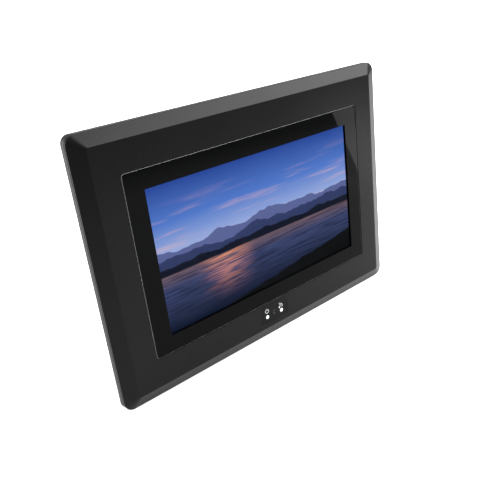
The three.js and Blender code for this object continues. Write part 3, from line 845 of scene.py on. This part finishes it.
def case_screw(name, centre):
    """A pan-headed screw with a cross recess, seen from the back."""
    top = CASE_SCREW_TOP
    head_radius, shank_radius = 2.2, 0.95
    head_front = top + 0.8
    mesh = bmesh.new()
    add_turned(mesh, [
        (0.3, top + 4.5, 0),
        (shank_radius, top + 3.5, 0),
        (shank_radius, head_front, 0),
        (head_radius, head_front, 0.15),
        (head_radius, top + 0.3, 0.2),
        (1.5, top, 0.3),
        (0.3, top - 0.05, 0),
    ], centre, 36)
    made = new_object(name + "_head", mesh)
    half_long, half_short = 1.15, 0.24
    first_turn = 0.4
    for turn in (first_turn, first_turn + math.pi / 2):
        cutter = bmesh.new()
        add_box(cutter, (-half_long, -half_short, top - PAST), (half_long, half_short, top + 0.55))
        cutter.transform(Matrix.Translation((*centre, 0.0)) @ Matrix.Rotation(turn, 4, "Z"))
        carve(made, new_object("cross", cutter))
    made.data.transform(CASING)
    finish_piece(made, BLACKENED_STEEL, [name])


# ---- Window and display ----------------------------------------------------------------------------


def front_glass():
    """One pane: gloss black round the edge, clear over the picture."""
    sight = (PICTURE[0] + 0.6, PICTURE[1] + 0.6, 0.2)
    mesh = bmesh.new()
    add_outline_loft(mesh, [
        (sight, GLASS_BACK, SCREEN_CENTRE, 0),
        (shrink(GLASS, 1.0), GLASS_BACK, MIDDLE, 0),
        (GLASS, GLASS_BACK, MIDDLE, 0.15),
        (GLASS, GLASS_FRONT, MIDDLE, EDGE_WIDTH),
        (shrink(GLASS, 1.0), GLASS_FRONT, MIDDLE, 0),
        (sight, GLASS_FRONT, SCREEN_CENTRE, 0),
    ], steps=6)
    mesh.faces.ensure_lookup_table()
    border, clear, ground_edge_highlight = range(3)
    for face in mesh.faces:
        face.material_index = border
        # The eased front edge takes the pale edge colour, a painted highlight.
        if GLASS_FRONT - EDGE_WIDTH < face.calc_center_median().z < GLASS_FRONT - 0.001:
            face.material_index = ground_edge_highlight
    for cap in mesh.faces[-2:]:
        cap.material_index = clear
    made = new_object("window", mesh, CASING)
    finish_piece(made, [BORDER, CLEAR, EDGE_HIGHLIGHT_GREY], ["front_glass"])


def display():
    """The display cell. Its front carries the picture, mapped over the lit area."""
    mesh = bmesh.new()
    layer = mesh.loops.layers.uv.new("picture")
    profile = [(CELL, depth, SCREEN_CENTRE, 0) for depth in (CELL_BACK, CELL_FRONT)]
    add_outline_loft(mesh, profile, steps=3)
    for face in mesh.faces:
        for loop in face.loops:
            x = (loop.vert.co.x - SCREEN_CENTRE[0]) / PICTURE[0] + 0.5
            y = (loop.vert.co.y - SCREEN_CENTRE[1]) / PICTURE[1] + 0.5
            loop[layer].uv = (x, y)
    made = new_object("display_cell", mesh, CASING)
    finish_piece(made, evening_picture(), ["lcd_cell"])


# ---- Indicator panel -------------------------------------------------------------------------------


def indicator_plate():
    mesh = bmesh.new()
    add_outline_loft(mesh, [
        (PANEL, PANEL_BACK, PANEL_CENTRE, 0),
        (PANEL, PANEL_FRONT, PANEL_CENTRE, 0.12),
        (shrink(PANEL, 0.6), PANEL_FRONT, PANEL_CENTRE, 0),
    ], steps=5)
    made = new_object("panel", mesh)
    carve(made, panel_holes(0.1, -2.0))
    made.data.transform(CASING)
    finish_piece(made, PANEL_PLASTIC, ["indicator_plate"])


def lamp(name, x):
    """A flanged lamp with a domed lens that stands a hair proud of the panel."""
    flange_radius, flange_back, flange_front = 1.9, -3.9, -3.0
    mesh = bmesh.new()
    add_turned(mesh, [
        (0.2, flange_back, 0),
        (flange_radius, flange_back, 0),
        (flange_radius, flange_front, 0),
        (LED_RADIUS, flange_front, 0),
        (LED_RADIUS, -0.1, 0.3),
        (0.9, 0.06, 0.5),
        (0.2, 0.1, 0),
    ], (x, LED_Y), 36)
    made = new_object(name + "_lens", mesh, CASING)
    finish_piece(made, LAMP, [name])


def sensor():
    """A dark round window with a dimple in its front."""
    back = -2.6
    mesh = bmesh.new()
    add_turned(mesh, [
        (0.2, back, 0),
        (SENSOR_RADIUS, back, 0),
        (SENSOR_RADIUS, -0.04, 0.12),
        (1.45, -0.06, 0.15),
        (0.8, -0.5, 0.5),
        (0.05, -0.58, 0),
    ], (0.0, SENSOR_Y), 48)
    made = new_object("sensor_dimple", mesh, CASING)
    finish_piece(made, DARK_LENS, ["sensor_lens"])


PRINT_HEIGHT = 0.02
PRINT_LINE = 0.24


def add_print(mesh, path, width=PRINT_LINE):
    """A printed line of even width along a path of points in the plate's plane."""
    left, right = [], []
    for i, point in enumerate(path):
        before = Vector(path[max(i - 1, 0)])
        after = Vector(path[min(i + 1, len(path) - 1)])
        along = (after - before).normalized()
        side = Vector((-along.y, along.x)) * width / 2
        left.append((point[0] + side.x, point[1] + side.y, PANEL_FRONT))
        right.append((point[0] - side.x, point[1] - side.y, PANEL_FRONT))
    add_prism(mesh, left + right[::-1], (0.0, 0.0, PRINT_HEIGHT))


def arc_path(centre, radius, start, end, steps=18):
    angles = [math.radians(start + (end - start) * k / steps) for k in range(steps + 1)]
    return [(centre[0] + radius * math.cos(a), centre[1] + radius * math.sin(a)) for a in angles]


def printed_signs():
    """Two plain white signs over the lamps: an open ring with a bar, and a dot with two waves."""
    mesh = bmesh.new()
    ring_centre = (LED_X["led_left"], -58.9)
    add_print(mesh, arc_path(ring_centre, 1.3, 115, 425, 28))
    add_print(mesh, [(ring_centre[0], -58.6), (ring_centre[0], -57.2)])
    source = (LED_X["led_right"] - 1.5, -60.5)
    for radius in (1.6, 2.7):
        add_print(mesh, arc_path(source, radius, -5, 95))
    add_print(mesh, arc_path(source, 0.3, 0, 345, 16), 0.5)
    made = new_object("panel_signs", mesh, CASING)
    finish_piece(made, WHITE_PRINT, [])


# ---- Sockets ---------------------------------------------------------------------------------------


# Each shell: x of its inner end, y of its middle, half its width, z of its back, then half its mouth's
# width and z of its mouth's back and front.
SOCKET_SHELLS = {
    "card_socket": (62.0, 26.0, 14.0, -17.1, 12.3, -16.7, -14.3),
    "usb_host_socket": (73.0, 3.0, 7.0, -19.6, 6.3, -19.1, -14.4),
    "usb_mini_socket": (80.0, -8.6, 3.9, -17.8, 3.4, -17.4, -14.3),
}
# Each tongue: half its width, z of its back and front, and how many contacts it has.
SOCKET_TONGUES = {
    "usb_host_socket": (5.6, -17.3, -15.9, 4),
    "usb_mini_socket": (2.6, -16.4, -15.5, 5),
}
SOCKET_BACK_WALL = 2.0
INLET_INNER = 77.0
INLET_HALF = 3.6
INLET_BACK = -19.6


def socket_shell(name, x, y, half, back, mouth_half, mouth_back, mouth_front):
    """A folded steel shell on the board, open to the right."""
    mesh = bmesh.new()
    add_box(mesh, (x, y - half, back), (SIDE_INNER, y + half, ON_BOARD))
    made = new_object(name + "_shell", mesh)
    mouth = bmesh.new()
    add_box(mouth, (x + SOCKET_BACK_WALL, y - mouth_half, mouth_back),
            (SIDE_INNER + PAST, y + mouth_half, mouth_front))
    carve(made, new_object("mouth", mouth))
    made.data.transform(CASING)
    soften(made, 0.15, 2)
    finish_piece(made, STEEL, [name])


def socket_tongue(name, x, y, half, back, front, contacts):
    """The insulating tongue in a socket, and the contacts on it."""
    mesh = bmesh.new()
    tip = SIDE_INNER - 1.2
    add_box(mesh, (x + SOCKET_BACK_WALL + 0.1, y - half, back), (tip, y + half, front))
    made = new_object(name + "_tongue", mesh, CASING)
    soften(made, 0.15, 2)
    finish_piece(made, SOCKET_BLACK, [])
    strips = bmesh.new()
    pitch = 2 * half / (contacts + 0.5)
    half_strip = pitch * 0.22
    for k in range(contacts):
        strip_y = y + (k - (contacts - 1) / 2) * pitch
        add_box(strips, (x + SOCKET_BACK_WALL + 1.0, strip_y - half_strip, back - 0.08),
                (tip - 0.3, strip_y + half_strip, back + 0.05))
    made = new_object(name + "_contacts", strips, CASING)
    finish_piece(made, GOLD, [])


def power_inlet():
    """A moulded jack with a steel pin in the middle of its bore."""
    mesh = bmesh.new()
    add_box(mesh, (INLET_INNER, INLET_Y - INLET_HALF, INLET_BACK),
            (SIDE_INNER, INLET_Y + INLET_HALF, ON_BOARD))
    made = new_object("inlet_housing", mesh)
    bore = bmesh.new()
    add_rod(bore, 1.9, INLET_INNER + 2.0, SIDE_INNER + PAST, INLET_Y, INLET_Z, 40)
    carve(made, new_object("inlet_bore", bore))
    made.data.transform(CASING)
    soften(made, 0.2, 3)
    finish_piece(made, SOCKET_BLACK, ["power_inlet"])
    pin = bmesh.new()
    add_rod(pin, 0.55, INLET_INNER + 1.0, SIDE_INNER - 1.0, INLET_Y, INLET_Z, 24)
    made = new_object("inlet_pin", pin, CASING)
    soften(made, 0.2, 3)
    finish_piece(made, STEEL, [])


# ---- Buttons and switch ----------------------------------------------------------------------------


def button(use, x):
    """A pill-shaped cap with a dished top and a skirt inside the cover."""
    name = "button_" + use
    centre = (x, BUTTON_Y)
    top = HUMP_BACK - 0.8
    skirt = (BUTTON[0] + 2, BUTTON[1] + 2, 1.5)
    skirt_back, skirt_front = -19.7, -18.9
    mesh = bmesh.new()
    add_outline_loft(mesh, [
        (shrink(BUTTON, 1.6), top + 0.12, centre, 0),
        (shrink(BUTTON, 0.9), top, centre, 0.3),
        (BUTTON, top, centre, 0.45),
        (BUTTON, skirt_back, centre, 0),
        (skirt, skirt_back, centre, 0.1),
        (skirt, skirt_front, centre, 0.1),
        (BUTTON, skirt_front, centre, 0),
        (BUTTON, skirt_front + 0.5, centre, 0),
    ], steps=8)
    made = new_object(name + "_cap", mesh, CASING)
    finish_piece(made, KEY, [name], name)


def switch_knob():
    """The slider: a tongue through the slot, and a ribbed grip."""
    x = SWITCH_X - SWITCH_TRAVEL / 2
    tongue_low, grip_low, grip_top = 52.1, 57.4, 60.8
    tongue_half, tongue_half_depth = 1.2, 0.7
    grip_half, grip_half_depth = 2.2, 1.1
    mesh = bmesh.new()
    add_box(mesh, (x - tongue_half, tongue_low, SWITCH_Z - tongue_half_depth),
            (x + tongue_half, grip_low + 0.2, SWITCH_Z + tongue_half_depth))
    made = new_object("knob_tongue", mesh)
    grip = bmesh.new()
    add_box(grip, (x - grip_half, grip_low, SWITCH_Z - grip_half_depth),
            (x + grip_half, grip_top, SWITCH_Z + grip_half_depth))
    carve(made, new_object("knob_grip", grip), "UNION")
    groove_pitch, groove_half, groove_depth = 0.8, 0.16, 0.3
    for k in range(-2, 3):
        groove_x = x + k * groove_pitch
        groove = bmesh.new()
        add_box(groove, (groove_x - groove_half, grip_top - groove_depth, SWITCH_Z - 2 * grip_half_depth),
                (groove_x + groove_half, grip_top + PAST, SWITCH_Z + 2 * grip_half_depth))
        carve(made, new_object("groove", groove))
    made.data.transform(CASING)
    soften(made, 0.12, 2)
    finish_piece(made, KEY, ["power_switch_knob"], "power_switch_knob")


# ---- Easel leg -------------------------------------------------------------------------------------

LEG_TOP = 44.0
LEG_FOOT = 32.0
LEG_END = -108.0
LEG_HALF = 1.6
BARREL_RADIUS = 2.8
PIN_RADIUS = 1.25
LEG_CORNER = 4.0
LEG_CORNER_STEPS = 6
TREADS = 5  # grooves across the leg's foot
TREAD_PITCH = 1.9


def leg_outline(grow=0.0, top=0.0, end=LEG_END):
    """The leg's plan: tapering sides and a foot with round corners."""
    half_foot = LEG_FOOT / 2 + grow
    half_top = LEG_TOP / 2 + grow
    slope = (half_top - half_foot) / (0.0 - LEG_END)
    points = [(half_top + slope * top, top)]
    for k in range(LEG_CORNER_STEPS + 1):
        a = math.radians(-90 * k / LEG_CORNER_STEPS)
        points.append((half_foot - LEG_CORNER + LEG_CORNER * math.cos(a),
                       end + LEG_CORNER + LEG_CORNER * math.sin(a)))
    return points + [(-x, y) for x, y in reversed(points)]


def stand_leg():
    """The leg: a plate on a bored barrel, with a sunk panel and treads on its outside."""
    mesh = bmesh.new()
    add_prism(mesh, [(x, y, -LEG_HALF) for x, y in leg_outline()], (0.0, 0.0, 2 * LEG_HALF))
    made = new_object("leg_plate", mesh)
    barrel = bmesh.new()
    reach = RECESS_HALF - 0.6
    add_rod(barrel, BARREL_RADIUS, -reach, reach, 0.0, 0.0, 48)
    carve(made, new_object("leg_barrel", barrel), "UNION")
    tools = bmesh.new()
    add_rod(tools, PIN_RADIUS + 0.2, -reach - PAST, reach + PAST, 0.0, 0.0)
    panel = leg_outline(-4.5, -14.0, LEG_END + 16.0)
    panel_depth = 0.6
    add_prism(tools, [(x, y, -LEG_HALF - PAST) for x, y in panel], (0.0, 0.0, PAST + panel_depth))
    tread_half, tread_width, tread_depth = 8.0, 0.9, 0.35
    for k in range(TREADS):
        y = LEG_END + 5.0 + TREAD_PITCH * k
        add_box(tools, (-tread_half, y, -LEG_HALF - PAST), (tread_half, y + tread_width,
                                                            -LEG_HALF + tread_depth))
    carve(made, new_object("leg_cuts", tools))
    made.data.transform(LEG)
    soften(made, 0.35, 3)
    finish_piece(made, REAR, ["stand_leg"], "stand")


def stand_foot():
    """A rubber pad on the end of the leg, with its underside on the table."""
    low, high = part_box("stand_foot")
    half = 2.0
    top = LEG_END - 0.3
    to_leg = LEG.inverted()
    back_edge = to_leg @ Vector((0.0, low.y, 0.0))
    front_edge = to_leg @ Vector((0.0, high.y, 0.0))
    slope = (front_edge.y - back_edge.y) / (front_edge.z - back_edge.z)
    table = [back_edge.y + slope * (z - back_edge.z) for z in (-half, half)]
    length = (high.x - low.x) / MM
    mesh = bmesh.new()
    add_prism(mesh, [(-length / 2, top, -half), (-length / 2, table[0], -half),
                     (-length / 2, table[1], half), (-length / 2, top, half)], (length, 0.0, 0.0))
    made = new_object("leg_pad", mesh, LEG)
    soften(made, 0.5, 4)
    finish_piece(made, RUBBER, ["stand_foot"], "stand")


def stand_pin():
    reach = RECESS_HALF + 1.3
    mesh = bmesh.new()
    add_rod(mesh, PIN_RADIUS, -reach, reach, HINGE.y, HINGE.z)
    made = new_object("hinge_pin", mesh, CASING)
    soften(made, 0.2, 2)
    finish_piece(made, STEEL, ["stand_pin"])


# ---- Assembly --------------------------------------------------------------------------------------

dress_inside()
front_bezel()
front_glass()
display()
indicator_plate()
for name, x in LED_X.items():
    lamp(name, x)
sensor()
printed_signs()
for i, use in enumerate(BUTTONS):
    button(use, BUTTON_START + i * BUTTON_PITCH)
switch_knob()
for name, shell in SOCKET_SHELLS.items():
    socket_shell(name, *shell)
    if name in SOCKET_TONGUES:
        socket_tongue(name, *shell[:2], *SOCKET_TONGUES[name])
power_inlet()
stand_leg()
stand_foot()
stand_pin()
rear_cover()
for name, x in FEET.items():
    strip_foot(name, x)
for number, at in enumerate(CASE_SCREWS, 1):
    case_screw(f"case_screw_{number}", at)

# ---- Camera, floor and light -----------------------------------------------------------------------

FACE_CENTRE = CASING @ Vector((0.0, 0.0, 0.0))
CAMERA_OFFSET = Vector((-0.22883, -0.24446, 0.17225))  # from the middle of the front face
CAMERA_LENS = 44.54
CAMERA_TURN = math.radians(-41.60)
CAMERA_TILT = math.radians(29.82)


def add_camera():
    data = bpy.data.cameras.new("camera")
    data.lens = CAMERA_LENS
    data.sensor_width = 36.0
    data.clip_start = 0.01
    data.clip_end = 50.0
    camera = bpy.data.objects.new("camera", data)
    bpy.context.scene.collection.objects.link(camera)
    camera.location = FACE_CENTRE + CAMERA_OFFSET
    camera.rotation_euler = (math.pi / 2 - CAMERA_TILT, 0.0, CAMERA_TURN)
    bpy.context.scene.camera = camera


def add_floor():
    mesh = bmesh.new()
    reach = 6.0
    sides = ((-1, -1), (1, -1), (1, 1), (-1, 1))
    mesh.faces.new([mesh.verts.new((x * reach, y * reach, 0.0)) for x, y in sides])
    floor = new_object("floor", mesh)
    g = Graph("floor_paper")
    cloud = g.noise(3.0, 2.0)
    g.set(
        Base_Color=g.mix(g.spread(cloud, 0.0, 1.0), grey(0.86), grey(0.9)),
        Roughness=0.9,
        Specular_IOR_Level=0.1,
    )
    floor.data.materials.append(g.material)


def add_softbox(name, place, target, size, power, roll=0.0):
    """A rectangular light that looks at target. roll turns it, in degrees, about its own line of sight."""
    data = bpy.data.lights.new(name, "AREA")
    data.shape = "RECTANGLE"
    data.size, data.size_y = size
    data.energy = power
    made = bpy.data.objects.new(name, data)
    bpy.context.scene.collection.objects.link(made)
    made.location = place
    aim = (Vector(target) - Vector(place)).to_track_quat("-Z", "Y")
    made.rotation_euler = (aim @ Quaternion((0.0, 0.0, 1.0), math.radians(roll))).to_euler()


def add_world(level):
    world = bpy.data.worlds.new("studio")
    world.use_nodes = True
    background = world.node_tree.nodes["Background"]
    background.inputs["Color"].default_value = (1.0, 1.0, 1.0, 1.0)
    background.inputs["Strength"].default_value = level
    bpy.context.scene.world = world


add_camera()
add_floor()
add_world(1.25)
add_softbox("top_box", (0.69, -0.78, 0.86), FACE_CENTRE, (1.27, 0.6), 43.0)
add_softbox("overhead_box", (-0.05, 0.14, 0.85), (-0.05, 0.14, 0.0), (0.6, 0.6), 11.0)
add_softbox("rim_box", (-0.75, 0.55, 0.30), (-0.11, 0.0, 0.08), (0.5, 0.5), 16.0)
add_softbox("low_box", (0.4585, -0.3435, 0.0575), (0.08, -0.01, 0.10), (0.034, 0.10), 0.10, 13.0)
bpy.context.scene.view_settings.view_transform = "Standard"
